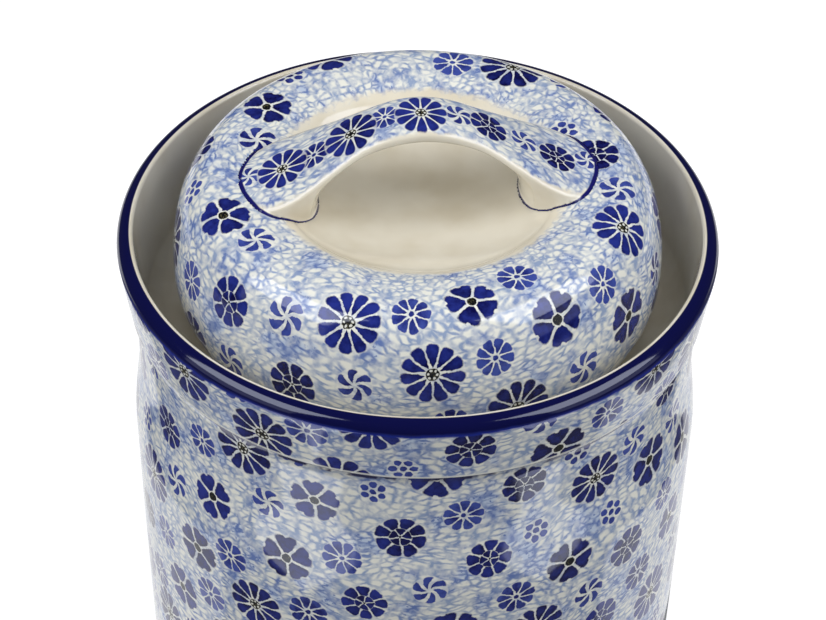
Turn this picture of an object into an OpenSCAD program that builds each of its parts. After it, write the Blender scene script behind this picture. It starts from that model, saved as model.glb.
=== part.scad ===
// Water seal crock for pickling: a crock whose collar holds a ring of water, a hollow lid that
// stands in the water, a strap handle luted on the lid, and two half-moon weights inside.
// Millimetres. The origin is the middle of the base, +Z is up and the handle runs along X.

/* [Crock body] */
// Height of the widest line of the rim above the table
rim_h = 240; // [205:1:300]
// Diameter of the body at its widest
body_d = 225.6; // [200:0.2:260]
// Height of the body's widest line above the table
belly_h = 154; // [80:1:170]
// How far the body's side draws in above its widest line
shoulder_draw = 3.3; // [1:0.1:6]
// Height over which it draws in
shoulder_h = 36; // [20:1:60]
// How far the body's side draws in on its way down to the bottom edge
base_draw = 1; // [0:0.1:6]
// Height of the rounded bottom edge
base_round = 9; // [5:0.5:14]
// Thickness of the body's wall
crock_wall = 7.5; // [6:0.1:9]
// Thickness of the floor above the recess in the underside
floor_t = 8; // [6:0.5:12]
// Radius between the floor and the wall inside
floor_round = 12; // [6:0.5:14]
// Distance of the ring that the crock stands on from the bottom edge
foot_inset = 8.8; // [6:0.1:16]
// Width of that ring
foot_w = 11; // [7:0.5:16]
// Depth of the recess inside that ring
foot_recess = 3; // [2:0.5:5]

/* [Collar and rim] */
// How far the rim stands out past the body's widest line
rim_over = 2.2; // [0:0.1:6]
// Radius of the rim's rounded outside
lip_r = 5; // [4:0.25:5.5]
// Radius of the rim's rounded inside
lip_in_r = 2.5; // [1.5:0.25:3]
// Height of the collar below the rim's widest line
collar_h = 23.7; // [18:0.1:26]
// How far the collar's lower edge stands out from the body under it
collar_step = 2.5; // [1.5:0.1:5]
// Radius of the collar's lower edge
collar_edge_r = 1.3; // [0.8:0.1:1.6]

/* [Water channel] */
// Depth of the channel below the rim's widest line
channel_depth = 38; // [34:1:46]
// Thickness of the wall between the channel and the body's side under the collar
channel_wall = 4.3; // [3.5:0.1:6]
// Width of the channel, from that wall to the neck
channel_w = 29.7; // [26:0.1:36]
// Radius between the channel's floor and its outer wall
channel_round = 9; // [6:0.5:9]
// Thickness of the channel's floor
channel_floor_t = 7; // [6:0.5:10]
// Radius under the channel, where it meets the body's wall
channel_fillet = 10; // [6:0.5:14]
// Thickness of the neck round the mouth
neck_wall = 6.5; // [5:0.5:8]
// Height of the neck above the rim's widest line
neck_rise = 2; // [-2:0.5:4]
// Radius between the neck and the channel's floor
neck_fillet = 4.5; // [3:0.25:4.5]
// Radius of the mouth's lower edge, inside the crock
mouth_edge_r = 4; // [2:0.5:5]

/* [Lid] */
// Gap all round between the channel's wall and the lid's widest line
lid_gap = 11.2; // [8:0.1:14]
// How far the lid's widest line lies below the rim's
lid_drop = 11; // [6:0.5:14]
// Distance of the lid's highest ring from its widest line, towards the axis
crest_inset = 19; // [15:0.5:24]
// Height of the highest ring above the widest line
crest_rise = 39; // [34:0.5:46]
// Fullness of the lid's outer shoulder, where 2 is an ellipse
crest_power = 2.2; // [2:0.05:2.5]
// Width of the slope from the highest ring in to the dish
inner_slope_w = 24.5; // [22:0.5:27]
// Drop of that slope
inner_slope_h = 9; // [8:0.5:10]
// Depth of the dish's middle below the highest ring
dish_depth = 18; // [15:0.5:21]
// Rise of the dish from its middle to the foot of that slope
dish_lip = 8.13; // [6:0.1:9.5]
// Thickness of the lid
lid_wall = 6; // [5:0.25:6.5]
// Gap all round between the neck and the lid's skirt
neck_gap = 4.8; // [3:0.1:6]
// Height of the skirt's straight part
skirt_h = 3; // [3:0.5:6]
// Radius of the skirt's lower edges
skirt_edge_r = 1.8; // [1:0.1:2.4]
// Gap that keeps the resting lid clear of the channel's floor
lid_seat_gap = 0.25; // [0.1:0.05:0.5]
// Number of vents in the skirt's lower edge
vent_count = 4; // [2:1:8]
// Radius of a vent's arch
vent_r = 4; // [2.5:0.5:6]

/* [Lid handle] */
// Height of the handle's top above the lid's highest ring
strap_rise = 27.8; // [24:0.2:36]
// Width of the handle at its middle
strap_w = 24.5; // [20:0.5:30]
// Thickness of the handle at its middle
strap_t = 7.2; // [6:0.1:9]
// Distance of a foot's end from the lid's highest ring, towards the axis
foot_pad_inset = 8.2; // [5:0.1:12]
// Length of a foot along the handle, from the finger gap to its end
foot_pad_l = 28.2; // [24:0.1:32]
// Thickness of a foot's thinned end
pad_edge_t = 0.4; // [0.2:0.05:1]
// Width of a foot
foot_pad_w = 41.5; // [36:0.5:48]
// Fullness of the handle's cross section, where 2 is an ellipse
strap_power = 2.8; // [2.2:0.1:3.4]
// Joint between the handle and the lid that the glaze fills
luting_gap = 0.12; // [0.05:0.01:0.2]

/* [Weights] */
// Distance of a weight's edge from where the floor curves up to the wall
weight_play = 2.5; // [1:0.5:20]
// Thickness of a weight
weight_t = 14; // [10:0.5:20]
// Gap between the two straight edges
weight_split = 3; // [1:0.5:8]
// Radius of a weight's round edge
weight_edge_r = 3; // [1:0.5:4]
// Bevel along a weight's straight edge
weight_bevel = 1.5; // [0.5:0.1:2.5]
// Diameter of the finger hole
finger_d = 24; // [18:1:30]
// Flare of the finger hole at both faces
finger_flare = 2; // [1:0.5:3]
// Distance of the finger hole from the crock's axis
finger_x = 38; // [30:1:50]
// Gap that keeps a resting weight clear of the floor
weight_seat_gap = 0.2; // [0.1:0.05:0.5]

/* [Hidden] */
$fn = 96;
over = 1;                                  // how far a cutter runs past what it cuts
fine = 8;                                  // steps of a small rounding
smooth = 20;                               // steps of a long curve

glaze_blue = [0.62, 0.69, 0.86];
glaze_cream = [0.93, 0.91, 0.84];

skin = 0.01;                               // how far a cutter stands proud of a slanted face
rest = 3;                                  // space between a curve's points and the rounding beside it
axis_r = 0.5;                              // a line moved sideways loses its points nearer the axis than this

body_r = body_d / 2;
base_r = body_r - base_draw;
shoulder_r = body_r - shoulder_draw;
shoulder_z = rim_h - collar_h;
collar_r = shoulder_r + collar_step;
rim_r = body_r + rim_over;
floor_z = foot_recess + floor_t;
foot_r = base_r - foot_inset;
foot_in_r = foot_r - foot_w;
base_lean = 1;                             // how far the bottom edge leans in at the table
channel_r = shoulder_r - channel_wall;
channel_z = rim_h - channel_depth;
ceiling_z = channel_z - channel_floor_t;   // underside of the channel, the top of the inside
neck_r = channel_r - channel_w;
mouth_r = neck_r - neck_wall;
neck_top_r = neck_wall / 2;

skirt_in_r = neck_r + neck_gap;
skirt_r = skirt_in_r + lid_wall;
skirt_z = channel_z + lid_seat_gap;
skirt_flare = 0.5;                         // how far the lid's side leans out just above its skirt
skirt_pull = 8;                            // height over which it keeps to that
side_pull = 13;                            // height over which it keeps upright below its widest line
vent_reach = 2 * lid_wall;                 // length of a vent's cutter, past the skirt's outside
lid_r = channel_r - lid_gap;
equator_z = rim_h - lid_drop;
crest_r = lid_r - crest_inset;
crest_z = equator_z + crest_rise;
dish_z = crest_z - dish_depth;
slope_end = 70;                            // angle at which the inner slope ends
dish_share = 0.85;                         // share of the dish's radius that is a plain bowl
dish_low_r = dish_share * (crest_r - inner_slope_w * sin(slope_end));

strap_z = crest_z + strap_rise;
strap_end = crest_r - foot_pad_inset;
strap_seat = slope_at(asin(foot_pad_inset / inner_slope_w))[1];
strap_base = strap_seat + luting_gap + pad_edge_t;
bell_over = 3;                             // how far past a foot's end the handle's bell curve settles
bell_end = strap_end + bell_over;
arch_end = strap_end - foot_pad_l;
arch_rise = 6;                             // height of the finger gap's widest part above the dish
arch_z = dish_z + arch_rise;
strap_bury = 12;                           // how far a foot's underside sinks before the lid cuts it
neck_in = 18;                              // half length of the handle's straight middle
pad_end_l = 13.8;                          // length of a foot's round outer end
pad_x = strap_end - pad_end_l;             // where a foot is widest
pad_power = 2;                             // fullness of a foot's outer end, where 2 is an ellipse
pad_blunt = 0.05;                          // keeps that end from coming to a point

// Points

// Arc round centre c from angle a to angle b
function arc(c, r, a, b, n) = [for (i = [0:n]) c + r * [cos(a + (b - a) * i / n), sin(a + (b - a) * i / n)]];

// Curve of degree two from a to c, pulled towards b
function pull(a, b, c, n) = [for (i = [0:n]) let (t = i / n)
    (1 - t) * (1 - t) * a + 2 * t * (1 - t) * b + t * t * c];

// Curve of degree three from a to d
function sway(a, b, c, d, n) = [for (i = [0:n]) let (t = i / n, s = 1 - t)
    s * s * s * a + 3 * s * s * t * b + 3 * s * t * t * c + t * t * t * d];

// Where a line through p with slope m meets a line through q with slope k
function meet(p, m, q, k) = let (x = (q[1] - p[1] + m * p[0] - k * q[0]) / (m - k)) [x, p[1] + m * (x - p[0])];

// The same line moved sideways by d, to the left of its direction
function beside(line, d) = [for (i = [0:len(line) - 1])
    let (a = line[max(i - 1, 0)], b = line[min(i + 1, len(line) - 1)], t = (b - a) / norm(b - a))
    line[i] + d * [-t[1], t[0]]];

function ease(t) = let (s = min(max(t, 0), 1)) s * s * (3 - 2 * s);
function signed_power(v, p) = sign(v) * pow(abs(v), p);

// Crock

// Outside radius of the body at height z
function body_at(z) = z > belly_h
    ? body_r - shoulder_draw * ease((z - belly_h) / shoulder_h)
    : body_r - base_draw * pow((belly_h - z) / (belly_h - base_round), 2);

function span(a, b, n) = [for (i = [0:n]) a + (b - a) * i / n];

function crock_outside() = concat(
    [[0, foot_recess], [foot_in_r - foot_recess, foot_recess]],
    [[foot_in_r, 0], [foot_r, 0]],
    pull([foot_r, 0], [base_r - base_lean, 0], [base_r, base_round], fine),
    [for (z = span(base_round + rest, shoulder_z - collar_edge_r, smooth)) [body_at(z), z]],
    arc([collar_r - collar_edge_r, shoulder_z + collar_edge_r], collar_edge_r, -90, 0, fine),
    arc([rim_r - lip_r, rim_h], lip_r, 0, 90, fine * 2));

function channel_inside() = concat(
    arc([rim_r - lip_r, rim_h + lip_r - lip_in_r], lip_in_r, 90, 180, fine),
    arc([channel_r - channel_round, channel_z + channel_round], channel_round, 0, -90, fine),
    arc([neck_r + neck_fillet, channel_z + neck_fillet], neck_fillet, 270, 180, fine),
    arc([neck_r - neck_top_r, rim_h + neck_rise - neck_top_r], neck_top_r, 0, 180, fine * 2));

function crock_inside() = let (wall_z = ceiling_z - channel_fillet, wall_r = body_at(wall_z) - crock_wall,
                               low_z = floor_z + floor_round, low_r = body_at(low_z) - crock_wall) concat(
    arc([mouth_r + mouth_edge_r, ceiling_z + mouth_edge_r], mouth_edge_r, 180, 270, fine),
    arc([wall_r - channel_fillet, wall_z], channel_fillet, 90, 0, fine),
    [for (z = span(wall_z - rest, low_z + rest, smooth)) [body_at(z) - crock_wall, z]],
    arc([low_r - floor_round, low_z], floor_round, 0, -90, fine),
    [[0, floor_z]]);

module crock() {
    color(glaze_blue)
        rotate_extrude()
            polygon(concat(crock_outside(), channel_inside(), crock_inside()));
}

// Lid

// Point of the slope from the crest in to the dish, at angle u from the crest
function slope_at(u) = [crest_r - inner_slope_w * sin(u), crest_z - inner_slope_h * (1 - cos(u))];
function slope_tan(u) = inner_slope_h / inner_slope_w * tan(u);
function dish_at(r) = [r, dish_z + dish_lip * pow(r / dish_low_r, 2)];

// The lid's outer surface from the skirt over the crest to the middle of the dish
function lid_outside() = let (start = slope_at(slope_end), low_r = dish_low_r,
                              corner = meet(start, slope_tan(slope_end), dish_at(low_r), 2 * dish_lip / low_r)) concat(
    sway([skirt_r, skirt_z + skirt_h], [skirt_r + skirt_flare, skirt_z + skirt_h + skirt_pull],
         [lid_r, equator_z - side_pull], [lid_r, equator_z], smooth),
    [for (i = [1:smooth]) let (t = 90 * i / smooth)
        [crest_r + (lid_r - crest_r) * pow(cos(t), 2 / crest_power),
         equator_z + (crest_z - equator_z) * pow(sin(t), 2 / crest_power)]],
    [for (i = [1:fine]) slope_at(slope_end * i / fine)],
    pull(start, corner, dish_at(low_r), fine),
    [for (r = span(low_r * (1 - 1 / fine), 0, fine)) dish_at(r)]);

function reversed(line) = [for (i = [len(line) - 1:-1:0]) line[i]];

function lid_section() = let (outer = lid_outside(), inner = reversed(beside(outer, lid_wall))) concat(
    outer,
    [[0, dish_z - lid_wall]],
    [for (p = inner) if (p[0] > axis_r) p],
    arc([skirt_in_r + skirt_edge_r, skirt_z + skirt_edge_r], skirt_edge_r, 180, 270, fine),
    arc([skirt_r - skirt_edge_r, skirt_z + skirt_edge_r], skirt_edge_r, 270, 360, fine));

module lid() {
    color(glaze_blue)
        difference() {
            rotate_extrude()
                polygon(lid_section());
            for (i = [0:vent_count - 1])
                rotate([0, 0, 360 * (i + 0.5) / vent_count])
                    translate([skirt_in_r - over, 0, skirt_z])
                        vent();
        }
}

// Arched notch in the skirt's lower edge, which runs out along X
module vent() {
    rotate([0, 90, 0])
        cylinder(r = vent_r, h = vent_reach, $fn = smooth * 2);
    translate([0, -vent_r, -vent_r])
        cube([vent_reach, 2 * vent_r, vent_r]);
}

// Handle

// Level of the handle's top above its middle line, at distance x from the lid's axis
function strap_top(x) = strap_base + (strap_z - strap_base) * pow(cos(90 * x / bell_end), 2);

// Where the finger gap ends, at distance y from the handle's middle line, which rounds a foot's inner end
function arch_end_at(y) = pad_x - (pad_x - arch_end) * sqrt(1 - pow(min(abs(y) / (foot_pad_w / 2), 1), 2));

// Underside of the handle: the finger gap's arch, then sunk in the lid
function strap_under(x) = abs(x) < arch_end
    ? arch_z + (strap_z - strap_t - arch_z) * sqrt(1 - pow(x / arch_end, 2))
    : arch_z - strap_bury * sqrt((abs(x) - arch_end) / (strap_end - arch_end));

// Half width of the handle, with a round end on each foot
function strap_half(x) = let (ax = abs(x), past = max(0, ax - pad_x) / (strap_end - pad_x + pad_blunt))
    (strap_w / 2 + (foot_pad_w - strap_w) / 2 * ease((ax - neck_in) / (pad_x - neck_in)))
    * pow(1 - pow(past, pad_power), 1 / pad_power);

// Stations along the handle, closer together at both ends of a foot
arch_steps = 15;
pad_steps = 12;
half_stations = concat([for (i = [1:arch_steps]) arch_end * sin(90 * i / arch_steps)],
                       [for (i = [1:pad_steps]) arch_end + foot_pad_l * (1 - cos(180 * i / pad_steps)) / 2]);
stations = concat(-reversed(half_stations), [0], half_stations);
ring = 36;

// Share of the rounding of a foot's inner end that reaches distance x
function end_share(x) = abs(x) < arch_end ? x / arch_end : sign(x) * (strap_end - abs(x)) / (strap_end - arch_end);

function strap_ring(x) = let (top = strap_top(x), mid = top - strap_t / 2, low = strap_under(x), half = strap_half(x))
    [for (i = [0:ring - 1]) let (a = 360 * i / ring, y = half * signed_power(cos(a), 2 / strap_power),
                                 rise = signed_power(sin(a), 2 / strap_power))
        [x - min(rise, 0) * (arch_end_at(y) - arch_end) * end_share(x), y,
         mid + (rise > 0 ? top - mid : mid - low) * rise]];

function ring_faces(count) = [for (k = [0:count - 2]) for (i = [0:ring - 1])
    let (a = k * ring + i, b = k * ring + (i + 1) % ring) each [[a, a + ring, b], [b, a + ring, b + ring]]];

module strap() {
    count = len(stations);
    polyhedron(
        points = [for (x = stations) each strap_ring(x)],
        faces = concat([[for (i = [0:ring - 1]) i]], ring_faces(count),
                       [[for (i = [ring - 1:-1:0]) (count - 1) * ring + i]]),
        convexity = 6);
}

// Everything under the lid's outer surface, grown by the luting gap
module lid_envelope() {
    rotate_extrude()
        polygon(concat([[0, equator_z], [lid_r, equator_z]],
                       [for (p = beside(lid_outside(), -luting_gap)) if (p[1] > equator_z && p[0] > axis_r) p],
                       [[0, dish_z + luting_gap]]));
}

module lid_handle() {
    color(glaze_blue)
        difference() {
            strap();
            lid_envelope();
        }
}

// Weights

weight_z = floor_z + weight_seat_gap;
weight_r = body_at(floor_z + floor_round) - crock_wall - floor_round - weight_play;

function weight_section() = concat(
    [[0, 0]],
    arc([weight_r - weight_edge_r, weight_edge_r], weight_edge_r, -90, 0, fine),
    arc([weight_r - weight_edge_r, weight_t - weight_edge_r], weight_edge_r, 0, 90, fine),
    [[0, weight_t]]);

// The half of the weight on +X, on the floor of the crock
module half_moon() {
    color(glaze_cream)
        translate([0, 0, weight_z])
            difference() {
                rotate_extrude()
                    polygon(weight_section());
                translate([weight_split / 2 - 2 * weight_r, -weight_r - over, -over])
                    cube([2 * weight_r, 2 * (weight_r + over), weight_t + 2 * over]);
                for (z = [0, weight_t])
                    translate([weight_split / 2, 0, z])
                        rotate([0, 45, 0])
                            cube([weight_bevel * sqrt(2), 2 * (weight_r + over), weight_bevel * sqrt(2)], center = true);
                translate([finger_x, 0, 0])
                    finger_hole();
            }
}

module finger_hole() {
    translate([0, 0, -over])
        cylinder(d = finger_d, h = weight_t + 2 * over);
    translate([0, 0, -skin])
        cylinder(d1 = finger_d + 2 * finger_flare, d2 = finger_d, h = finger_flare);
    translate([0, 0, weight_t + skin - finger_flare])
        cylinder(d1 = finger_d, d2 = finger_d + 2 * finger_flare, h = finger_flare);
}

module weight_right() {
    half_moon();
}

module weight_left() {
    mirror([1, 0, 0])
        half_moon();
}

crock();
lid();
lid_handle();
weight_left();
weight_right();
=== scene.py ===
"""Looks of the water seal crock: smooth turned shells, a strap handle, and stamped blue glaze.

Shapes are written in millimetres, with the origin in the middle of the base, and scaled to metres.
"""
import math

import bpy
from mathutils import Matrix, Vector
from mathutils.kdtree import KDTree


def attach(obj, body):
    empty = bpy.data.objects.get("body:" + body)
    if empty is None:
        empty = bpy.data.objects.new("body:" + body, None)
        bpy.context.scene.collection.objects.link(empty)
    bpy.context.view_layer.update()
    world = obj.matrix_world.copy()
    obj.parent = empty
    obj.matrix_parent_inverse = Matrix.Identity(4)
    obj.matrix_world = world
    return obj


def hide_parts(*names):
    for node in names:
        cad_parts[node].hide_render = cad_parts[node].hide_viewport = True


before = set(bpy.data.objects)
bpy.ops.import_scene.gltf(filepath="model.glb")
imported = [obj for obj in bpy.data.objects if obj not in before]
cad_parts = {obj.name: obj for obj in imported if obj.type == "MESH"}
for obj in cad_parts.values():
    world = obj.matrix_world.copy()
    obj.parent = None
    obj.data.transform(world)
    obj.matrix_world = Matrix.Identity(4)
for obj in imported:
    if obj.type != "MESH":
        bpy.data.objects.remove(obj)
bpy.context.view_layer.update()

MM = 0.001

# Crock
RIM_H, RIM_R, LIP_R, LIP_IN_R = 240.0, 115.0, 5.0, 1.4
BODY_R, BELLY_H, SHOULDER_R, BASE_R, BASE_ROUND = 112.8, 154.0, 109.5, 111.8, 9.0
COLLAR_H, COLLAR_R, COLLAR_EDGE_R, SHOULDER_H = 23.7, 112.0, 1.3, 36.0
CROCK_WALL, FLOOR_T, FLOOR_ROUND = 7.5, 8.0, 12.0
FOOT_R, FOOT_W, FOOT_RECESS = 103.0, 11.0, 3.0
CHANNEL_DEPTH, CHANNEL_R, CHANNEL_ROUND, CHANNEL_FLOOR_T, CHANNEL_FILLET = 38.0, 105.2, 9.0, 7.0, 10.0
MOUTH_R, NECK_WALL, NECK_RISE, NECK_FILLET, MOUTH_EDGE_R = 69.0, 6.5, 2.0, 4.5, 4.0

# Lid
LID_R, LID_DROP, CREST_R, CREST_RISE, CREST_POWER = 94.0, 11.0, 75.0, 28.0, 2.2
SLOPE_W, SLOPE_H, SLOPE_END = 24.5, 9.0, math.radians(70)
DISH_RISE, DISH_LIP, DISH_SHARE = 10.0, 8.13, 0.85
LID_WALL, NECK_GAP, SKIRT_H, SKIRT_EDGE_R, LID_SEAT_GAP = 6.0, 4.8, 3.0, 1.8, 0.25
VENT_COUNT, VENT_R = 4, 4.0

# Handle
STRAP_RISE, STRAP_HALF, STRAP_T, STRAP_END, PAD_HALF = 55.8, 12.25, 7.2, 66.8, 20.75
ARCH_END, STRAP_POWER, STRAP_BURY, NECK_IN, PAD_END = 38.6, 2.8, 12.0, 18.0, 13.8
PAD_EDGE_T, LUTING_GAP = 0.4, 0.12
FILLET = 1.6                      # radius of the clay worked round the handle's feet

SHOULDER_Z = RIM_H - COLLAR_H
FLOOR_Z = FOOT_RECESS + FLOOR_T
CHANNEL_Z = RIM_H - CHANNEL_DEPTH
CEILING_Z = CHANNEL_Z - CHANNEL_FLOOR_T
NECK_R = MOUTH_R + NECK_WALL
SKIRT_Z = CHANNEL_Z + LID_SEAT_GAP
SKIRT_IN_R = NECK_R + NECK_GAP
SKIRT_R = SKIRT_IN_R + LID_WALL
EQUATOR_Z = RIM_H - LID_DROP
CREST_Z = RIM_H + CREST_RISE
DISH_Z = RIM_H + DISH_RISE
STRAP_Z = RIM_H + STRAP_RISE
DISH_LOW_R = DISH_SHARE * (CREST_R - SLOPE_W * math.sin(SLOPE_END))
STRAP_SEAT = CREST_Z - SLOPE_H * (1 - math.sqrt(1 - ((CREST_R - STRAP_END) / SLOPE_W) ** 2))
STRAP_BASE = STRAP_SEAT + LUTING_GAP + PAD_EDGE_T
BELL_END = STRAP_END + 3
ARCH_Z = DISH_Z + 6
PAD_X = STRAP_END - PAD_END

SMALL, LONG = 10, 40              # steps of a small rounding and of a long curve


# Outlines

def arc(r, z, radius, start, end, steps=SMALL):
    """Points of an arc round (r, z), with its angles in degrees."""
    turn = [math.radians(start + (end - start) * i / steps) for i in range(steps + 1)]
    return [(r + radius * math.cos(a), z + radius * math.sin(a)) for a in turn]


def curve(points, steps=SMALL):
    """Points of the Bezier curve that these control points pull."""
    made = []
    for i in range(steps + 1):
        t, row = i / steps, list(points)
        while len(row) > 1:
            row = [tuple((1 - t) * a + t * b for a, b in zip(p, q)) for p, q in zip(row, row[1:])]
        made.append(row[0])
    return made


def span(start, end, steps=LONG):
    return [start + (end - start) * i / steps for i in range(steps + 1)]


def ease(t):
    t = min(max(t, 0.0), 1.0)
    return t * t * (3 - 2 * t)


def beside(line, distance):
    """The line moved to the left of its direction."""
    moved = []
    for i, (r, z) in enumerate(line):
        (r0, z0), (r1, z1) = line[max(i - 1, 0)], line[min(i + 1, len(line) - 1)]
        size = math.hypot(r1 - r0, z1 - z0)
        moved.append((r - distance * (z1 - z0) / size, z + distance * (r1 - r0) / size))
    return moved


def body_at(z):
    """Outside radius of the crock's body at height z."""
    if z > BELLY_H:
        return BODY_R - (BODY_R - SHOULDER_R) * ease((z - BELLY_H) / SHOULDER_H)
    return BODY_R - (BODY_R - BASE_R) * ((BELLY_H - z) / (BELLY_H - BASE_ROUND)) ** 2


def crock_outline():
    """The crock's section, from the axis underneath, up the outside and down the inside."""
    low_r = body_at(BASE_ROUND)
    wall_z = CEILING_Z - CHANNEL_FILLET
    wall_r = body_at(wall_z) - CROCK_WALL
    floor_r = body_at(FLOOR_Z + FLOOR_ROUND) - CROCK_WALL
    neck_top = NECK_WALL / 2
    return (
        [(0, FOOT_RECESS), (60, FOOT_RECESS)]
        + curve([(FOOT_R - FOOT_W - 5, FOOT_RECESS), (FOOT_R - FOOT_W - 1.5, FOOT_RECESS),
                 (FOOT_R - FOOT_W - 1.5, 0), (FOOT_R - FOOT_W + 1, 0)])
        + curve([(FOOT_R, 0), (low_r - 1, 0), (low_r, BASE_ROUND)])
        + [(body_at(z), z) for z in span(BASE_ROUND + 3, SHOULDER_Z - COLLAR_EDGE_R)]
        + arc(COLLAR_R - COLLAR_EDGE_R, SHOULDER_Z + COLLAR_EDGE_R, COLLAR_EDGE_R, -90, 0)
        + [(COLLAR_R + (RIM_R - COLLAR_R) * t, SHOULDER_Z + COLLAR_EDGE_R + (COLLAR_H - COLLAR_EDGE_R) * t)
           for t in (0.15, 0.3, 0.45, 0.6, 0.75, 0.9)]
        + arc(RIM_R - LIP_R, RIM_H, LIP_R, 0, 90, 2 * SMALL)
        + arc(RIM_R - LIP_R, RIM_H + LIP_R - LIP_IN_R, LIP_IN_R, 99, 180)
        + arc(CHANNEL_R - CHANNEL_ROUND, CHANNEL_Z + CHANNEL_ROUND, CHANNEL_ROUND, 0, -90)
        + arc(NECK_R + NECK_FILLET, CHANNEL_Z + NECK_FILLET, NECK_FILLET, 270, 180)
        + arc(NECK_R - neck_top, RIM_H + NECK_RISE - neck_top, neck_top, 0, 180, 2 * SMALL)
        + arc(MOUTH_R + MOUTH_EDGE_R, CEILING_Z + MOUTH_EDGE_R, MOUTH_EDGE_R, 180, 270)
        + arc(wall_r - CHANNEL_FILLET, wall_z, CHANNEL_FILLET, 90, 0)
        + [(body_at(z) - CROCK_WALL, z) for z in span(wall_z - 3, FLOOR_Z + FLOOR_ROUND + 3, LONG // 2)]
        + arc(floor_r - FLOOR_ROUND, FLOOR_Z + FLOOR_ROUND, FLOOR_ROUND, 0, -90)
        + [(60, FLOOR_Z), (0, FLOOR_Z)]
    )


def slope_at(angle):
    """Point of the lid's slope from its crest in to the dish."""
    return CREST_R - SLOPE_W * math.sin(angle), CREST_Z - SLOPE_H * (1 - math.cos(angle))


def dish_at(r):
    return r, DISH_Z + DISH_LIP * (r / DISH_LOW_R) ** 2


def lid_outside():
    """The lid's outer line, from the skirt over the crest to the middle of the dish."""
    start, slope = slope_at(SLOPE_END), SLOPE_H / SLOPE_W * math.tan(SLOPE_END)
    low = dish_at(DISH_LOW_R)
    low_slope = 2 * DISH_LIP / DISH_LOW_R
    corner_r = (low[1] - start[1] + slope * start[0] - low_slope * low[0]) / (slope - low_slope)
    corner = (corner_r, start[1] + slope * (corner_r - start[0]))
    shoulder = [
        (CREST_R + (LID_R - CREST_R) * math.cos(t) ** (2 / CREST_POWER),
         EQUATOR_Z + (CREST_Z - EQUATOR_Z) * math.sin(t) ** (2 / CREST_POWER))
        for t in span(math.pi / 2 / LONG, math.pi / 2, LONG - 1)
    ]
    shoulder[-1] = (CREST_R, CREST_Z)
    return (
        curve([(SKIRT_R, SKIRT_Z + SKIRT_H), (SKIRT_R + 0.5, SKIRT_Z + SKIRT_H + 8),
               (LID_R, EQUATOR_Z - 13), (LID_R, EQUATOR_Z)], LONG // 2)
        + shoulder
        + [slope_at(a) for a in span(SLOPE_END / LONG, SLOPE_END, LONG // 2)]
        + curve([start, corner, low])[1:]
        + [dish_at(r) for r in span(low[0] * 0.93, 0, LONG // 2)]
    )


CREST_PATH = sum(math.dist(p, q) for p, q in zip(lid_outside(), lid_outside()[1:]) if q[0] >= CREST_R)
DISH_PAINT_R, LARGE_END_R, SMALL_END_R = 56.0, 68.0, 63.0
HANDLE_PITCH = 29.0


def lid_outline():
    outside = lid_outside()
    inside = [p for p in reversed(beside(outside, LID_WALL)) if p[0] > 1]
    return (
        outside
        + [(0, DISH_Z - LID_WALL)]
        + inside
        + arc(SKIRT_IN_R + SKIRT_EDGE_R, SKIRT_Z + SKIRT_EDGE_R, SKIRT_EDGE_R, 180, 270)
        + arc(SKIRT_R - SKIRT_EDGE_R, SKIRT_Z + SKIRT_EDGE_R, SKIRT_EDGE_R, 270, 350)
    )


def height_of(line):
    """Function that gives the height of a line of falling radius at radius r."""
    rising = sorted(line)

    def look(r):
        for (r0, z0), (r1, z1) in zip(rising, rising[1:]):
            if r <= r1:
                return z0 + (z1 - z0) * max(0.0, r - r0) / max(r1 - r0, 1e-9)
        return rising[-1][1]

    return look


lid_top = height_of([p for p in lid_outside() if p[1] > EQUATOR_Z + 10])


# Meshes

def new_object(name, mesh):
    made = bpy.data.objects.new(name, mesh)
    bpy.context.scene.collection.objects.link(made)
    return made


def mesh_from(name, points, faces):
    """A smooth mesh from points in millimetres."""
    mesh = bpy.data.meshes.new(name)
    mesh.from_pydata([tuple(MM * c for c in p) for p in points], [], faces)
    mesh.polygons.foreach_set("use_smooth", [True] * len(mesh.polygons))
    mesh.update()
    return mesh


def give_values(mesh, name, values):
    """Keeps a number for each vertex, for the shaders."""
    mesh.attributes.new(name, "FLOAT", "POINT").data.foreach_set("value", values)


def turned(name, outline, angles, lift=None, closed=True):
    """A shell of revolution through the outline, with its poles on the axis and its arc length kept as path."""
    points, paths, rings, walked = [], [], [], 0.0
    for i, (r, z) in enumerate(outline):
        walked += math.dist(outline[i - 1], (r, z)) if i else 0.0
        if r < 1e-6:
            rings.append([len(points)])
            points.append((0, 0, z))
        else:
            rings.append(list(range(len(points), len(points) + len(angles))))
            points += [(r * math.cos(a), r * math.sin(a), lift(r, z, a) if lift else z) for a in angles]
        paths += [walked * MM] * (len(points) - len(paths))
    faces, corner_uvs = [], []
    pairs = list(zip(rings, rings[1:])) + ([(rings[-1], rings[0])] if closed else [])
    count = len(angles)
    for low, high in pairs:
        for j in range(count):
            k = (j + 1) % count
            if len(low) == 1 and len(high) == 1:
                continue
            if len(low) == 1:
                face, turns = (low[0], high[k], high[j]), (j + 0.5, j + 1, j)
            elif len(high) == 1:
                face, turns = (low[j], low[k], high[0]), (j, j + 1, j + 0.5)
            else:
                face, turns = (low[j], low[k], high[k], high[j]), (j, j + 1, j + 1, j)
            faces.append(face)
            corner_uvs += [(t / count, paths[v]) for t, v in zip(turns, face)]
    mesh = mesh_from(name, points, faces)
    give_values(mesh, "path", paths)
    layer = mesh.uv_layers.new(name="UVMap")
    layer.data.foreach_set("uv", [c for uv in corner_uvs for c in uv])
    return new_object(name, mesh)


def even_angles(count):
    return [math.tau * i / count for i in range(count)]


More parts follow.
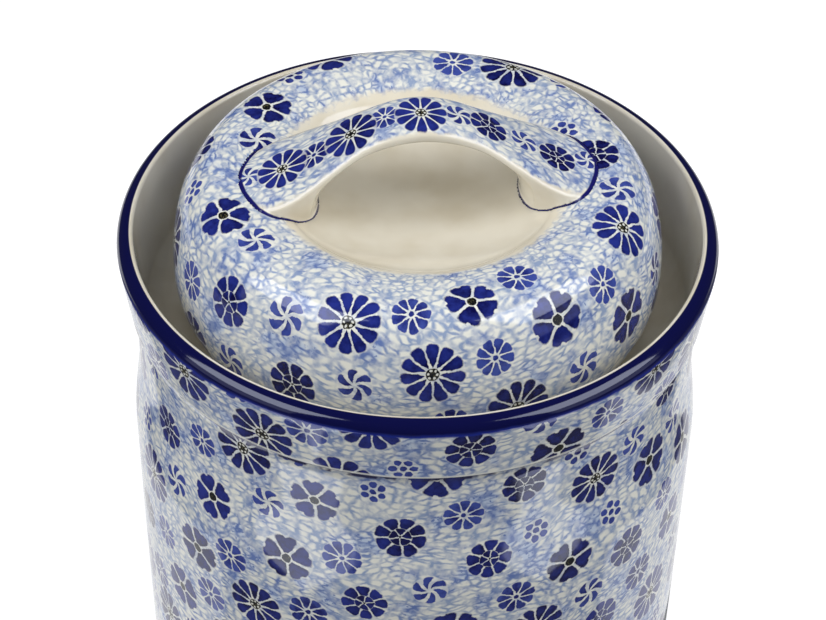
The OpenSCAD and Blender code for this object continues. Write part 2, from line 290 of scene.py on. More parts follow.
def vent_angles(count):
    """Even angles with closer ones where the vents' arches rise."""
    half = VENT_R / SKIRT_R
    centres = [math.tau * (i + 0.5) / VENT_COUNT for i in range(VENT_COUNT)]
    near = [c + half * math.sin(math.pi / 2 * s / 8) for c in centres for s in range(-8, 9)]
    edges = [c + side * half * 1.04 for c in centres for side in (-1, 1)]
    far = [a for a in even_angles(count) if all(abs(a - c) > half * 1.5 for c in centres)]
    return sorted(near + edges + far)


def vent_lift(r, z, angle):
    """Raises the skirt's lower edge over the vents."""
    if z > SKIRT_Z + VENT_R:
        return z
    pitch = math.tau / VENT_COUNT
    off = r * abs((angle + pitch) % pitch - pitch / 2)
    return max(z, SKIRT_Z + math.sqrt(VENT_R ** 2 - off ** 2)) if off < VENT_R else z


# Handle

def signed_power(value, power):
    return math.copysign(abs(value) ** power, value)


def strap_top(x):
    return STRAP_BASE + (STRAP_Z - STRAP_BASE) * math.cos(math.pi / 2 * x / BELL_END) ** 2


def strap_under(x):
    if abs(x) < ARCH_END:
        return ARCH_Z + (STRAP_Z - STRAP_T - ARCH_Z) * math.sqrt(1 - (x / ARCH_END) ** 2)
    return ARCH_Z - STRAP_BURY * math.sqrt((abs(x) - ARCH_END) / (STRAP_END - ARCH_END))


def strap_half(x):
    past = max(0.0, abs(x) - PAD_X) / (PAD_END + 0.05)
    flare = STRAP_HALF + (PAD_HALF - STRAP_HALF) * ease((abs(x) - NECK_IN) / (PAD_X - NECK_IN))
    return flare * math.sqrt(1 - past ** 2)


def arch_end_at(y):
    """Where the finger gap ends, at distance y from the handle's middle line."""
    return PAD_X - (PAD_X - ARCH_END) * math.sqrt(1 - min(abs(y) / PAD_HALF, 1) ** 2)


def end_share(x):
    """Share of the rounding of a foot's inner end that reaches distance x."""
    return x / ARCH_END if abs(x) < ARCH_END else math.copysign((STRAP_END - abs(x)) / (STRAP_END - ARCH_END), x)


def strap_mesh(arch_steps=56, pad_steps=44, ring=96):
    """The whole strap, before the lid cuts its feet."""
    half = [ARCH_END * math.sin(math.pi / 2 * i / arch_steps) for i in range(1, arch_steps + 1)]
    half += [ARCH_END + (STRAP_END - ARCH_END) * (1 - math.cos(math.pi * i / pad_steps)) / 2
             for i in range(1, pad_steps + 1)]
    stations = [-x for x in reversed(half)] + [0.0] + half
    points, faces = [], []
    for x in stations:
        top, low, wide = strap_top(x), strap_under(x), strap_half(x)
        middle = top - STRAP_T / 2
        for i in range(ring):
            a = math.tau * i / ring
            y, rise = wide * signed_power(math.cos(a), 2 / STRAP_POWER), signed_power(math.sin(a), 2 / STRAP_POWER)
            shift = -min(rise, 0.0) * (arch_end_at(y) - ARCH_END) * end_share(x)
            points.append((x + shift, y, middle + (top - middle if rise > 0 else middle - low) * rise))
    for k in range(len(stations) - 1):
        for i in range(ring):
            j = (i + 1) % ring
            faces.append((k * ring + i, k * ring + j, (k + 1) * ring + j, (k + 1) * ring + i))
    faces.append(tuple(reversed(range(ring))))
    faces.append(tuple((len(stations) - 1) * ring + i for i in range(ring)))
    return new_object("lid_handle_strap", mesh_from("strap", points, faces))


def cut_by_lid(strap):
    """Cuts the strap's feet to the lid's surface."""
    top = [(0, EQUATOR_Z), (LID_R, EQUATOR_Z)] + [p for p in lid_outside() if p[1] > EQUATOR_Z]
    cutter = turned("lid_cutter", top, even_angles(256))
    cut = strap.modifiers.new("cut", "BOOLEAN")
    cut.operation, cut.solver, cut.object = "DIFFERENCE", "EXACT", cutter
    mesh = bpy.data.meshes.new_from_object(strap.evaluated_get(bpy.context.evaluated_depsgraph_get()))
    bpy.data.objects.remove(cutter)
    strap.modifiers.clear()
    strap.data = mesh
    mesh.polygons.foreach_set("use_smooth", [True] * len(mesh.polygons))
    return strap


def joint_line(mesh, above):
    """Points along the edge where the strap's skin meets the lid, and the faces that lie on the lid."""
    lying = [all(above[v] < 0.03 for v in face.vertices) for face in mesh.polygons]
    sides = {}
    for face, low in zip(mesh.polygons, lying):
        for key in face.edge_keys:
            sides.setdefault(key, set()).add(low)
    ends = [key for key, kinds in sides.items() if len(kinds) == 2]
    places = [mesh.vertices[a].co.lerp(mesh.vertices[b].co, t) for a, b in ends for t in (0.0, 0.34, 0.67)]
    return places, {v for key in ends for v in key}, {v for f, low in zip(mesh.polygons, lying) if low for v in f.vertices}


def work_in_feet(strap):
    """Spreads the clay round the feet to a small fillet, and keeps each vertex's place on the strap."""
    mesh = strap.data
    above = [v.co.z / MM - lid_top(math.hypot(v.co.x, v.co.y) / MM) for v in mesh.vertices]
    places, on_line, lying = joint_line(mesh, above)
    tree = KDTree(len(places))
    for i, place in enumerate(places):
        tree.insert(place, i)
    tree.balance()
    across, edge, uvs = [], [], []
    normals = [v.normal.copy() for v in mesh.vertices]
    for vertex, normal, rise in zip(mesh.vertices, normals, above):
        x, y, z = (c / MM for c in vertex.co)
        off = tree.find(vertex.co)[2] / MM
        wide = max(strap_half(max(-STRAP_END, min(STRAP_END, x))), 1.0)
        below = z < strap_top(x) - STRAP_T / 2 or normal.z < -0.1
        across.append(1.3 if below else min(abs(y) / wide, 1.0))
        edge.append(off)
        inner = vertex.index in lying and vertex.index not in on_line
        if off < FILLET and not inner:
            outward = Vector((normal.x, normal.y))
            shift = FILLET - math.sqrt(FILLET ** 2 - (FILLET - off) ** 2)
            side = outward * shift * 0.9
            x, y = x + side.x, y + side.y
            vertex.co = (x * MM, y * MM, (lid_top(math.hypot(x, y)) + max(rise, 0.0) + 0.02) * MM)
        uvs.append((x * MM, y * MM))
    give_values(mesh, "across", across)
    give_values(mesh, "edge", edge)
    layer = mesh.uv_layers.get("UVMap") or mesh.uv_layers.new(name="UVMap")
    for loop in mesh.loops:
        layer.data[loop.index].uv = uvs[loop.vertex_index]
    mesh.update()
    return strap


# Shader building

def srgb(red, green, blue):
    """A colour given as 0 to 255 on screen, in linear light."""
    def linear(v):
        v /= 255
        return v / 12.92 if v <= 0.04045 else ((v + 0.055) / 1.055) ** 2.4

    return linear(red), linear(green), linear(blue), 1.0


CREAM = srgb(228, 222, 206)
CREAM_WARM = srgb(214, 205, 184)
GROUND = srgb(233, 233, 224)
DAB_BLUE = srgb(188, 201, 221)
WASH_PALE = srgb(146, 163, 194)
WASH = srgb(100, 122, 178)
COBALT = srgb(36, 48, 134)
NAVY = srgb(8, 8, 66)
SOFT_BLUE = srgb(62, 78, 158)
DEEP_BLUE = srgb(18, 22, 98)
INK = srgb(10, 12, 18)
OLIVE = srgb(96, 92, 60)
BAND = srgb(8, 10, 62)
BAND_EDGE = srgb(16, 38, 142)
# Colour of the painted shade: the dark line under the collar's lower edge
SHADE_UNDER_COLLAR = srgb(26, 28, 84)
FOOT_LINE = srgb(22, 22, 96)
GLINT = (0.80, 0.85, 1.0, 1.0)    # the cobalt glaze throws lights back a little blue
BARE_CLAY = srgb(214, 200, 178)


class Graph:
    """Builds a material's nodes from numbers and sockets."""

    def __init__(self, name):
        self.material = bpy.data.materials.new(name)
        self.material.use_nodes = True
        self.tree = self.material.node_tree
        self.tree.nodes.clear()

    def add(self, kind, **settings):
        node = self.tree.nodes.new("ShaderNode" + kind)
        for name, value in settings.items():
            setattr(node, name, value)
        return node

    def plug(self, value, socket):
        if isinstance(value, bpy.types.NodeSocket):
            self.tree.links.new(value, socket)
        else:
            socket.default_value = value

    def math(self, operation, *values, clamp=False):
        node = self.add("Math", operation=operation, use_clamp=clamp)
        for value, socket in zip(values, node.inputs):
            self.plug(value, socket)
        return node.outputs[0]

    def plus(self, a, b):
        return self.math("ADD", a, b)

    def minus(self, a, b):
        return self.math("SUBTRACT", a, b)

    def times(self, a, b):
        return self.math("MULTIPLY", a, b)

    def most(self, a, b):
        return self.math("MAXIMUM", a, b)

    def least(self, a, b):
        return self.math("MINIMUM", a, b)

    def step(self, value, low, high):
        """0 below low, 1 above high and smooth between them; the other way round where low is above high."""
        node = self.add("MapRange", interpolation_type="SMOOTHSTEP")
        self.plug(value, node.inputs["Value"])
        flip = not isinstance(low, bpy.types.NodeSocket) and not isinstance(high, bpy.types.NodeSocket) and low > high
        self.plug(high if flip else low, node.inputs["From Min"])
        self.plug(low if flip else high, node.inputs["From Max"])
        node.inputs["To Min"].default_value = 1.0 if flip else 0.0
        node.inputs["To Max"].default_value = 0.0 if flip else 1.0
        return node.outputs["Result"]

    def scaled(self, value, low, high):
        """A number from 0 to 1 stretched to run from low to high."""
        return self.plus(self.times(value, high - low), low)

    def mix(self, share, a, b):
        node = self.add("Mix", data_type="RGBA")
        self.plug(share, node.inputs["Factor"])
        self.plug(a, node.inputs[6])
        self.plug(b, node.inputs[7])
        return node.outputs[2]

    def vector(self, x, y, z=0.0):
        node = self.add("CombineXYZ")
        for value, socket in zip((x, y, z), node.inputs):
            self.plug(value, socket)
        return node.outputs[0]

    def split(self, vector):
        node = self.add("SeparateXYZ")
        self.plug(vector, node.inputs[0])
        return node.outputs

    def vectors(self, operation, a, b):
        node = self.add("VectorMath", operation=operation)
        self.plug(a, node.inputs[0])
        self.plug(b, node.inputs["Scale"] if operation == "SCALE" else node.inputs[1])
        return node.outputs[0]

    def noise(self, vector, size, detail=2.0, rough=0.5):
        """Noise whose lumps are about size wide, in the vector's unit: (value, colour)."""
        node = self.add("TexNoise")
        self.plug(vector, node.inputs["Vector"])
        node.inputs["Scale"].default_value = 1.0 / size
        node.inputs["Detail"].default_value = detail
        node.inputs["Roughness"].default_value = rough
        return node.outputs["Fac"], node.outputs["Color"]

    def cells(self, vector, feature="DISTANCE_TO_EDGE", randomness=1.0):
        node = self.add("TexVoronoi", feature=feature)
        self.plug(vector, node.inputs["Vector"])
        node.inputs["Scale"].default_value = 1.0
        node.inputs["Randomness"].default_value = randomness
        return node.outputs["Distance"]

    def chance(self, key, seed):
        """Three random numbers from 0 to 1 that depend on key alone."""
        node = self.add("TexWhiteNoise", noise_dimensions="2D")
        self.plug(self.vector(key, seed), node.inputs["Vector"])
        return self.split(node.outputs["Color"])

    def place(self):
        """The point on the surface, in millimetres, in the part's own frame."""
        return self.vectors("SCALE", self.add("TexCoord").outputs["Object"], 1 / MM)

    def kept(self, name):
        return self.add("Attribute", attribute_name=name).outputs["Fac"]


# Stamps

def petals(g, rho, phi, count, middle, length, gap, share=1.0, fullness=2.7):
    """A round of wedge petals: how far out of the nearest a point is, where 1 is its edge, and its place in it."""
    sector = math.tau / count
    index = g.math("ROUND", g.math("DIVIDE", phi, sector))
    psi = g.minus(phi, g.times(index, sector))
    out = g.times(rho, g.math("COSINE", psi))
    along = g.minus(out, middle)
    across = g.times(rho, g.math("SINE", psi))
    wide = g.most(g.minus(g.times(out, share * math.tan(sector / 2)), gap), 0.05)
    parts = [g.math("POWER", g.math("ABSOLUTE", g.math("DIVIDE", side, size)), fullness)
             for side, size in ((along, length), (across, wide))]
    return g.math("POWER", g.plus(*parts), 1 / fullness), along, across, index


def dots(g, rho, phi, count, middle, size):
    """A round of dots: how far out of the nearest a point is, where 1 is its edge."""
    sector = math.tau / count
    psi = g.minus(phi, g.times(g.math("ROUND", g.math("DIVIDE", phi, sector)), sector))
    along = g.minus(g.times(rho, g.math("COSINE", psi)), middle)
    across = g.times(rho, g.math("SINE", psi))
    return g.math("DIVIDE", g.math("SQRT", g.plus(g.times(along, along), g.times(across, across))), size)


def inside(g, reach, soft=0.08):
    return g.step(reach, 1 + soft, 1 - soft)


def ray_flower(g, rho, phi):
    """Large flower of eleven broad rays round a dark seeded middle."""
    reach, along, _, index = petals(g, rho, phi, 11, 7.9, 4.8, 0.38)
    middle = inside(g, g.math("DIVIDE", rho, 2.75), 0.06)
    return {
        "paint": inside(g, reach), "halo": g.step(rho, 13.4, 12.6), "tone": g.step(along, 4.5, -4.5), "petal": index,
        "rim": g.step(reach, 0.45, 1.0), "middle": middle, "pale": g.times(inside(g, dots(g, rho, phi, 6, 1.8, 0.55), 0.25), middle),
    }


def heart_flower(g, rho, phi):
    """Flower of five notched petals with a dark eye."""
    reach, along, across, index = petals(g, rho, phi, 5, 5.9, 4.4, 0.3, 0.9, 2.4)
    notch = g.math("SQRT", g.plus(g.math("POWER", g.minus(along, 4.7), 2.0), g.math("POWER", across, 2.0)))
    ring = g.times(g.step(rho, 2.75, 2.45), g.step(rho, 1.9, 2.15))
    return {
        "paint": g.times(inside(g, reach), g.step(notch, 0.9, 1.3)), "halo": g.step(rho, 11.0, 10.3),
        "tone": g.step(along, 5.0, -4.0), "petal": index, "rim": g.step(reach, 0.45, 1.0),
        "middle": inside(g, g.math("DIVIDE", rho, 2.0), 0.1), "pale": ring,
    }


def rosette(g, rho, phi):
    """Dense dark rosette of two rounds of petals."""
    outer, along, _, index = petals(g, rho, phi, 8, 6.3, 3.2, 0.35)
    inner, _, _, _ = petals(g, rho, g.plus(phi, 0.5), 5, 2.3, 1.75, 0.25)
    core = g.step(rho, 4.3, 4.05)
    paint = g.most(g.times(inside(g, outer), g.minus(1.0, core)), g.times(inside(g, inner, 0.1), core))
    return {
        "paint": paint, "halo": g.step(rho, 10.0, 9.4), "tone": g.step(along, 3.5, -2.0), "petal": index,
        "rim": g.step(outer, 0.4, 1.0),
        "middle": g.step(rho, 0.55, 0.4), "pale": 0.0,
    }


def pinwheel(g, rho, phi):
    """Small flower of six turning petals."""
    reach, along, _, index = petals(g, rho, g.plus(phi, g.times(rho, 0.09)), 6, 4.1, 3.0, 0.3, 0.72)
    return {"paint": inside(g, reach, 0.08), "halo": g.step(rho, 7.6, 7.0), "tone": g.step(along, 3.0, -3.0),
            "petal": index}


def berries(g, rho, phi):
    """Small round of six dots about a seventh."""
    return {"paint": g.most(inside(g, dots(g, rho, phi, 6, 4.0, 1.65), 0.1), g.step(rho, 1.6, 1.35)),
            "halo": g.step(rho, 6.4, 5.9), "tone": g.step(rho, 5.0, 1.0)}


def slim_star(g, rho, phi):
    """Small dark star of nine slim petals and a dot."""
    reach, along, _, index = petals(g, rho, phi, 9, 4.9, 3.0, 0.28)
    return {"paint": g.most(inside(g, reach, 0.08), g.step(rho, 1.2, 1.0)), "halo": g.step(rho, 8.3, 7.7),
            "tone": g.step(along, 3.0, -2.0), "petal": index}


LARGE = ((ray_flower, 0.0), (heart_flower, 0.30), (rosette, 0.64))
LITTLE = ((pinwheel, 0.0), (berries, 0.34), (slim_star, 0.58))


def stamp(g, x, y, key, seed, kinds, jitter, scale=1.0):
    """One kind of stamp, picked by key, near the middle of its cell, turned and sized at random."""
    pick, aside, up = g.chance(key, seed)
    turn, size, shade = g.chance(key, seed + 0.37)
    x = g.plus(x, g.scaled(aside, -jitter, jitter))
    y = g.plus(y, g.scaled(up, -jitter, jitter))
    size = g.scaled(size, 0.90 * scale, 1.04 * scale)
    rho = g.math("DIVIDE", g.math("SQRT", g.plus(g.times(x, x), g.times(y, y))), size)
    phi = g.plus(g.math("ARCTAN2", y, x), g.times(turn, math.tau))
    drawn = {}
    for i, (draw, start) in enumerate(kinds):
        end = kinds[i + 1][1] if i + 1 < len(kinds) else 2.0
        chosen = g.times(g.math("GREATER_THAN", pick, start), g.math("LESS_THAN", pick, end))
        for layer, value in draw(g, rho, phi).items():
            if value != 0.0 or not isinstance(value, float):
                part = g.times(value, chosen)
                drawn[layer] = g.plus(drawn[layer], part) if layer in drawn else part
    drawn["shade"] = shade
    drawn.setdefault("petal", 0.0)
    drawn.setdefault("rim", 0.0)
    return drawn


def lattice(g, turn, path, radius, steps, around, shift):
    """The nearest site of a slanted square lattice that closes round the jar: its offset in mm and its key."""
    one, two = steps
    slant = [g.minus(g.times(turn, one), g.times(path, two / around)),
             g.plus(g.times(turn, two), g.times(path, one / around))]
    slant = [g.plus(s, shift) for s in slant]
    near = [g.math("ROUND", s) for s in slant]
    off = [g.minus(s, n) for s, n in zip(slant, near)]
    share = 1.0 / (one * one + two * two)
    x = g.times(g.times(g.plus(g.times(off[0], one), g.times(off[1], two)), share * math.tau), radius)
    y = g.times(g.plus(g.times(off[0], -two), g.times(off[1], one)), share * around)
    key = g.minus(g.times(near[0], two), g.times(near[1], one))
    return x, y, key


def lay_stamp(g, colour, drawn, light, dark, fade):
    """Paints a stamp over the colour, with places where the paint lies thick and thin in each petal."""
    pool, _ = g.noise(g.place(), 3.2, 3.0, 0.6)
    petal, _, _ = g.chance(g.plus(drawn["petal"], g.times(drawn["shade"], 37.0)), 2.5)
    tone = g.plus(g.times(drawn["tone"], 0.35), g.times(g.minus(pool, 0.5), 2.0))
    tone = g.plus(tone, g.plus(g.scaled(petal, -0.20, 0.20), g.times(drawn["rim"], 0.25)))
    tone = g.math("ADD", tone, g.scaled(drawn["shade"], -0.05, 0.55), clamp=True)
    colour = g.mix(g.times(g.times(drawn["halo"], 0.55), fade), colour, GROUND)
    colour = g.mix(g.times(drawn["paint"], fade), colour, g.mix(tone, light, dark))
    if "middle" in drawn:
        speck, _ = g.noise(g.place(), 0.7, 1.0)
        colour = g.mix(g.times(drawn["middle"], fade), colour, g.mix(g.step(speck, 0.5, 0.75), INK, OLIVE))
    if "pale" in drawn:
        colour = g.mix(g.times(drawn["pale"], g.times(fade, 0.85)), colour, GROUND)
    return colour


def dabs(g, flat):
    """The sponged ground: rows of cream dabs between soft blue lines, with a blue wash in places."""
    _, drift = g.noise(flat, 42.0, 1.0)
    _, wobble = g.noise(flat, 4.4, 2.0)
    moved = g.vectors("ADD", flat, g.vectors("SCALE", g.vectors("SUBTRACT", drift, (0.5,) * 3), 20.0))
    moved = g.vectors("ADD", moved, g.vectors("SCALE", g.vectors("SUBTRACT", wobble, (0.5,) * 3), 2.4))
    gap = g.cells(g.vectors("MULTIPLY", moved, (1 / 4.8, 1 / 4.8, 1 / 2.6)), randomness=0.8)
    patch, _ = g.noise(flat, 13.0, 3.0, 0.6)
    faint, _ = g.noise(flat, 3.6, 2.0)
    spot, _ = g.noise(flat, 1.7, 2.0)
    line = g.math("MULTIPLY", g.step(gap, 0.30, 0.02), g.scaled(faint, -0.45, 1.95), clamp=True)
    dab = g.mix(g.step(patch, 0.50, 0.34), GROUND, DAB_BLUE)
    dab = g.mix(g.times(g.step(spot, 0.56, 0.70), g.step(patch, 0.50, 0.38)), dab, WASH)
    return g.mix(line, dab, g.mix(g.step(patch, 0.58, 0.36), WASH_PALE, WASH))


def glaze(g, colour, bump_height=None):
    """Clear glossy glaze over the colour, with the faint waves that a fired glaze has."""
    ripple, _ = g.noise(g.place(), 9.0, 2.0)
    grain, _ = g.noise(g.place(), 1.1, 1.0)
    height = g.plus(g.times(ripple, 0.10), g.times(grain, 0.006))
    if bump_height is not None:
        height = g.plus(height, bump_height)
    bump = g.add("Bump")
    bump.inputs["Strength"].default_value = 0.35
    bump.inputs["Distance"].default_value = MM
    g.plug(height, bump.inputs["Height"])
    shader = g.add("BsdfPrincipled")
    g.plug(colour, shader.inputs["Base Color"])
    g.plug(g.scaled(grain, 0.05, 0.12), shader.inputs["Roughness"])
    g.plug(bump.outputs[0], shader.inputs["Normal"])
    shader.inputs["IOR"].default_value = 1.58
    shader.inputs["Specular Tint"].default_value = GLINT
    output = g.add("OutputMaterial")
    g.plug(shader.outputs[0], output.inputs["Surface"])
    return g.material


def cream_coat(g):
    """Plain cream glaze, a little warmer in patches."""
    patch, _ = g.noise(g.place(), 28.0, 3.0)
    return g.mix(g.step(patch, 0.35, 0.75), CREAM, CREAM_WARM)


def stamped(g, turn, path, radius, steps, around, ground_share=None, ends=(None, None)):
    """The stamped decoration of a turned surface; stamps whose site lies past their end on the path are left out."""
    angle = g.times(turn, math.tau)
    flat = g.vector(g.times(g.math("COSINE", angle), around / math.tau),
                    g.times(g.math("SINE", angle), around / math.tau), path)
    colour = dabs(g, flat)
    if ground_share is not None:
        colour = g.mix(ground_share, cream_coat(g), colour)
    _, hand = g.noise(flat, 5.0, 4.0, 0.7)
    hand_x, hand_y, _ = g.split(g.vectors("SCALE", g.vectors("SUBTRACT", hand, (0.5,) * 3), 2.2))
    for shift, seed, kinds, jitter, light, dark, end in (
        (0.5, 3.1, LITTLE, 2.6, SOFT_BLUE, DEEP_BLUE, ends[1]), (0.0, 7.7, LARGE, 2.2, COBALT, NAVY, ends[0]),
    ):
        x, y, key = lattice(g, turn, path, radius, steps, around, shift)
        there = 1.0 if end is None else g.math("LESS_THAN", g.minus(path, y), end)
        drawn = stamp(g, g.plus(x, hand_x), g.plus(y, hand_y), key, seed, kinds, jitter)
        colour = lay_stamp(g, colour, drawn, light, dark, there)
    return colour


def crock_glaze():
    g = Graph("crock_glaze")
    x, y, z = g.split(g.place())
    radius = g.math("SQRT", g.plus(g.times(x, x), g.times(y, y)))
    turn = g.math("DIVIDE", g.math("ARCTAN2", y, x), math.tau)
    collar = g.math("GREATER_THAN", z, SHOULDER_Z + 0.5)
    path = g.plus(z, g.times(collar, 17.0))
    painted = stamped(g, turn, path, radius, (19, 7), math.tau * BODY_R)
    waver, _ = g.noise(g.place(), 7.0, 2.0)
    high = g.plus(z, g.scaled(waver, -0.7, 0.7))
    below_lip = g.times(g.math("LESS_THAN", z, RIM_H + 1), 1.6)
    outside = g.step(g.plus(radius, below_lip), RIM_R - LIP_R - 0.1, RIM_R - LIP_R + 0.3)
    # Painted shade: a dark blue line on the body just under the collar's lower edge stands for the shadow of its
    # overhang
    painted_shade_under_collar = g.times(g.step(z, SHOULDER_Z - 3.6, SHOULDER_Z - 2.7), g.step(z, SHOULDER_Z + 0.9, SHOULDER_Z + 0.6))
    painted_shade_under_collar = g.times(painted_shade_under_collar, g.step(waver, 0.36, 0.50))
    # Pale line on the collar's lower rounding: partly the glaze thinning on the edge, partly a painted highlight
    thin_glaze_and_highlight = g.times(g.step(z, SHOULDER_Z + 0.6, SHOULDER_Z + 1.0), g.step(z, SHOULDER_Z + 2.1, SHOULDER_Z + 1.4))
    painted = g.mix(g.times(thin_glaze_and_highlight, 0.8), g.mix(painted_shade_under_collar, painted, SHADE_UNDER_COLLAR), GROUND)
    band = g.step(high, RIM_H - 0.8, RIM_H + 0.5)
    band_colour = g.mix(g.step(high, RIM_H + 1.8, RIM_H - 0.2), BAND, BAND_EDGE)
    colour = g.mix(band, painted, band_colour)
    colour = g.mix(outside, cream_coat(g), colour)
    colour = g.mix(g.step(g.plus(z, g.scaled(waver, -0.9, 0.9)), 4.0, 3.2), colour, CREAM)
    colour = g.mix(g.step(z, 0.9, 0.6), colour, BARE_CLAY)
    return glaze(g, colour)


def lid_glaze():
    g = Graph("lid_glaze")
    x, y, z = g.split(g.place())
    radius = g.math("SQRT", g.plus(g.times(x, x), g.times(y, y)))
    turn = g.math("DIVIDE", g.math("ARCTAN2", y, x), math.tau)
    path = g.times(g.kept("path"), 1 / MM)
    fuzz, _ = g.noise(g.place(), 4.0, 3.0, 0.6)
    ground_share = g.step(g.plus(radius, g.scaled(fuzz, -3.5, 3.5)), DISH_PAINT_R - 1.5, DISH_PAINT_R + 2.5)
    painted = stamped(g, turn, path, radius, (13, 8), math.tau * 85.0, ground_share,
                      (CREST_PATH + CREST_R - LARGE_END_R, CREST_PATH + CREST_R - SMALL_END_R))
    outer_side = g.step(path, CREST_PATH + CREST_R + 1, CREST_PATH + CREST_R)
    return glaze(g, g.mix(outer_side, cream_coat(g), painted))


def handle_glaze():
    g = Graph("handle_glaze")
    x, y, z = g.split(g.place())
    along = g.times(x, 1.12)
    painted = dabs(g, g.vector(along, 40.0, y))
    for shift, seed, kinds, jitter, light, dark in (
        (0.5, 1.3, LITTLE, 1.8, SOFT_BLUE, DEEP_BLUE), (0.0, 5.2, LARGE, 1.2, COBALT, NAVY),
    ):
        slot = g.plus(g.math("DIVIDE", along, HANDLE_PITCH), shift)
        key = g.math("ROUND", slot)
        drawn = stamp(g, g.times(g.minus(slot, key), HANDLE_PITCH), y, key, seed, kinds, jitter, 0.82)
        painted = lay_stamp(g, painted, drawn, light, dark, 1.0)
    fuzz, _ = g.noise(g.place(), 3.5, 3.0, 0.6)
    top = g.step(g.plus(g.kept("across"), g.scaled(fuzz, -0.10, 0.10)), 0.96, 0.84)
    colour = g.mix(top, cream_coat(g), painted)
    waver, _ = g.noise(g.place(), 5.0, 2.0)
    line = g.step(g.plus(g.kept("edge"), g.scaled(waver, -0.3, 0.3)), 0.9, 0.55)
    return glaze(g, g.mix(line, colour, FOOT_LINE))


def weight_glaze():
    g = Graph("weight_glaze")
    return glaze(g, cream_coat(g))


# Set, camera and lamps

PHOTO_W, LENS_PX, SENSOR = 826, 2398.0, 36.0
CAMERA_DISTANCE, CAMERA_DOWN = 8 * RIM_R, math.radians(41.18)
CAMERA_ASIDE, CAMERA_RAISE = -0.0115 * RIM_R, -0.271 * RIM_R
CAMERA_ROLL, CAMERA_TURN = math.radians(1.05), math.radians(-6.0)
ROOM, ROOM_MIRRORED = 0.20, 0.05  # light of the room on the glaze's colour, and as the glaze mirrors it


def make_camera():
    """The photograph's camera: its place, its slight roll and its long lens, from the fitted outlines."""
    ahead = Vector((0, math.cos(CAMERA_DOWN), -math.sin(CAMERA_DOWN)))
    up = Vector((0, math.sin(CAMERA_DOWN), math.cos(CAMERA_DOWN)))
    right = Vector((1, 0, 0))
    place = -CAMERA_DISTANCE * ahead + CAMERA_RAISE * up + CAMERA_ASIDE * right
    rolled_right = math.cos(CAMERA_ROLL) * right + math.sin(CAMERA_ROLL) * up
    rolled_up = math.cos(CAMERA_ROLL) * up - math.sin(CAMERA_ROLL) * right
    turned_by = Matrix.Rotation(CAMERA_TURN, 4, "Z")
    axes = Matrix((rolled_right, rolled_up, -ahead)).transposed().to_4x4()
    data = bpy.data.cameras.new("photo_camera")
    data.sensor_width = SENSOR
    data.lens = LENS_PX / PHOTO_W * SENSOR
    data.clip_start, data.clip_end = 0.01, 50
    camera = new_object("photo_camera", data)
    camera.matrix_world = (
        Matrix.Translation((0, 0, RIM_H * MM)) @ turned_by @ Matrix.Translation(place * MM) @ axes
    )
    bpy.context.scene.camera = camera


def make_floor():
    """A pale floor that reads white to the camera and keeps the jar's shadow."""
    mesh = bpy.data.meshes.new("floor")
    size = 6.0
    mesh.from_pydata([(-size, -size, 0), (size, -size, 0), (size, size, 0), (-size, size, 0)], [], [(0, 1, 2, 3)])
    floor = new_object("floor", mesh)
    g = Graph("floor")
    path = g.add("LightPath")
    seen, lit, lift = g.add("BsdfDiffuse"), g.add("BsdfDiffuse"), g.add("Emission")
    seen.inputs["Color"].default_value = (0.5, 0.5, 0.5, 1)
    lit.inputs["Color"].default_value = (0.14, 0.14, 0.14, 1)
    lift.inputs["Strength"].default_value = 0.72
    both, pick = g.add("AddShader"), g.add("MixShader")
    g.plug(seen.outputs[0], both.inputs[0])
    g.plug(lift.outputs[0], both.inputs[1])
    g.plug(path.outputs["Is Camera Ray"], pick.inputs[0])
    g.plug(lit.outputs[0], pick.inputs[1])
    g.plug(both.outputs[0], pick.inputs[2])
    g.plug(pick.outputs[0], g.add("OutputMaterial").inputs["Surface"])
    floor.data.materials.append(g.material)


def make_lamp(name, place, target, width, height, radiance):
    """A rectangular softbox of even radiance, placed as the camera sees the jar: x right, y away, z up."""
    data = bpy.data.lights.new(name, "AREA")
    data.shape, data.size, data.size_y = "RECTANGLE", width, height
    data.energy = radiance * math.pi * width * height
    lamp = new_object(name, data)
    turned_by = Matrix.Rotation(CAMERA_TURN, 3, "Z")
    place, target = turned_by @ Vector(place), turned_by @ Vector(target)
    lamp.location = place
    lamp.rotation_euler = (target - place).to_track_quat("-Z", "Y").to_euler()
    lamp.visible_camera = False
    return lamp


def around(azimuth, elevation, distance):
    """Point round the jar: azimuth from the camera's side, counted to the right."""
    a, e = math.radians(azimuth), math.radians(elevation)
    return (distance * math.sin(a) * math.cos(e), -distance * math.cos(a) * math.cos(e), 0.2 + distance * math.sin(e))


# Bright places on the table: middle to the right and away, width, depth and radiance
TABLE_GLOWS = (
    ("table_glow_left", -0.25, -0.32, 0.26, 0.22, 1.9), ("table_glow_right", 0.27, -0.29, 0.18, 0.22, 1.8),
    ("table_glow_side_left", -0.182, 0.09, 0.126, 0.36, 0.85), ("table_glow_side_right", 0.182, 0.09, 0.126, 0.36, 0.85),
    ("table_glow_back", 0.0, 0.75, 1.8, 0.9, 0.9),
)


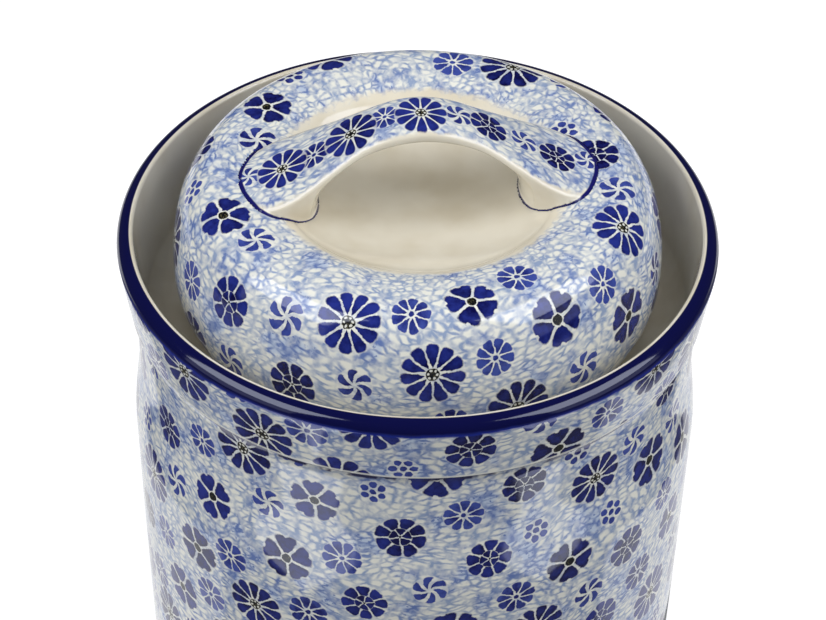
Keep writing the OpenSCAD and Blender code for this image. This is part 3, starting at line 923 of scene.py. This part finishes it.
def make_light():
    """Two softboxes in front, a dim room, and two bright places on the table that the glaze mirrors."""
    world = bpy.data.worlds.new("studio")
    world.use_nodes = True
    nodes, links = world.node_tree.nodes, world.node_tree.links
    nodes.clear()
    path = nodes.new("ShaderNodeLightPath")
    soft, dim, white, shown, pick, out = (nodes.new("ShaderNode" + kind) for kind in (
        "Background", "Background", "Background", "MixShader", "MixShader", "OutputWorld"))
    for node, colour, strength in ((soft, (0.95, 0.97, 1.0, 1), ROOM), (dim, (1, 1, 1, 1), ROOM_MIRRORED),
                                   (white, (1, 1, 1, 1), 1.0)):
        node.inputs["Color"].default_value = colour
        node.inputs["Strength"].default_value = strength
    for a, b in ((path.outputs["Is Glossy Ray"], shown.inputs[0]), (soft.outputs[0], shown.inputs[1]),
                 (dim.outputs[0], shown.inputs[2]), (path.outputs["Is Camera Ray"], pick.inputs[0]),
                 (shown.outputs[0], pick.inputs[1]), (white.outputs[0], pick.inputs[2]), (pick.outputs[0], out.inputs[0])):
        links.new(a, b)
    bpy.context.scene.world = world
    middle = (0, 0, 0.2)
    make_lamp("softbox_left", around(-62, 42, 1.35), middle, 1.0, 0.82, 4.3)
    make_lamp("softbox_right", around(68, 42, 1.35), middle, 1.0, 0.82, 4.2)
    make_lamp("low_box_left", around(-60, 12, 1.35), middle, 1.0, 0.5, 0.6)
    make_lamp("low_box_right", around(66, 12, 1.35), middle, 1.0, 0.5, 0.6)
    above = make_lamp("fill_above", (0.0, 0.15, 1.6), middle, 1.2, 1.2, 0.8)
    above.visible_glossy = False
    for name, x, y, width, depth, radiance in TABLE_GLOWS:
        make_lamp(name, (x, y, 0.004), (x, y, 1), width, depth, radiance)


# Making the parts

def dress(piece, material, body, node=None):
    piece.data.materials.clear()
    piece.data.materials.append(material)
    if node:
        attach(piece, body)
        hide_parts(node)


make_camera()

crock = turned("crock_shell", crock_outline(), even_angles(256), closed=False)
dress(crock, crock_glaze(), "crock", "crock")

lid = turned("lid_shell", lid_outline(), vent_angles(240), lift=vent_lift)
dress(lid, lid_glaze(), "lid", "lid")

handle = work_in_feet(cut_by_lid(strap_mesh()))
dress(handle, handle_glaze(), "lid", "lid_handle")

weight_material = weight_glaze()
for name in ("weight_left", "weight_right"):
    dress(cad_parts[name], weight_material, name)

make_floor()
make_light()
bpy.context.scene.view_settings.view_transform = "Standard"
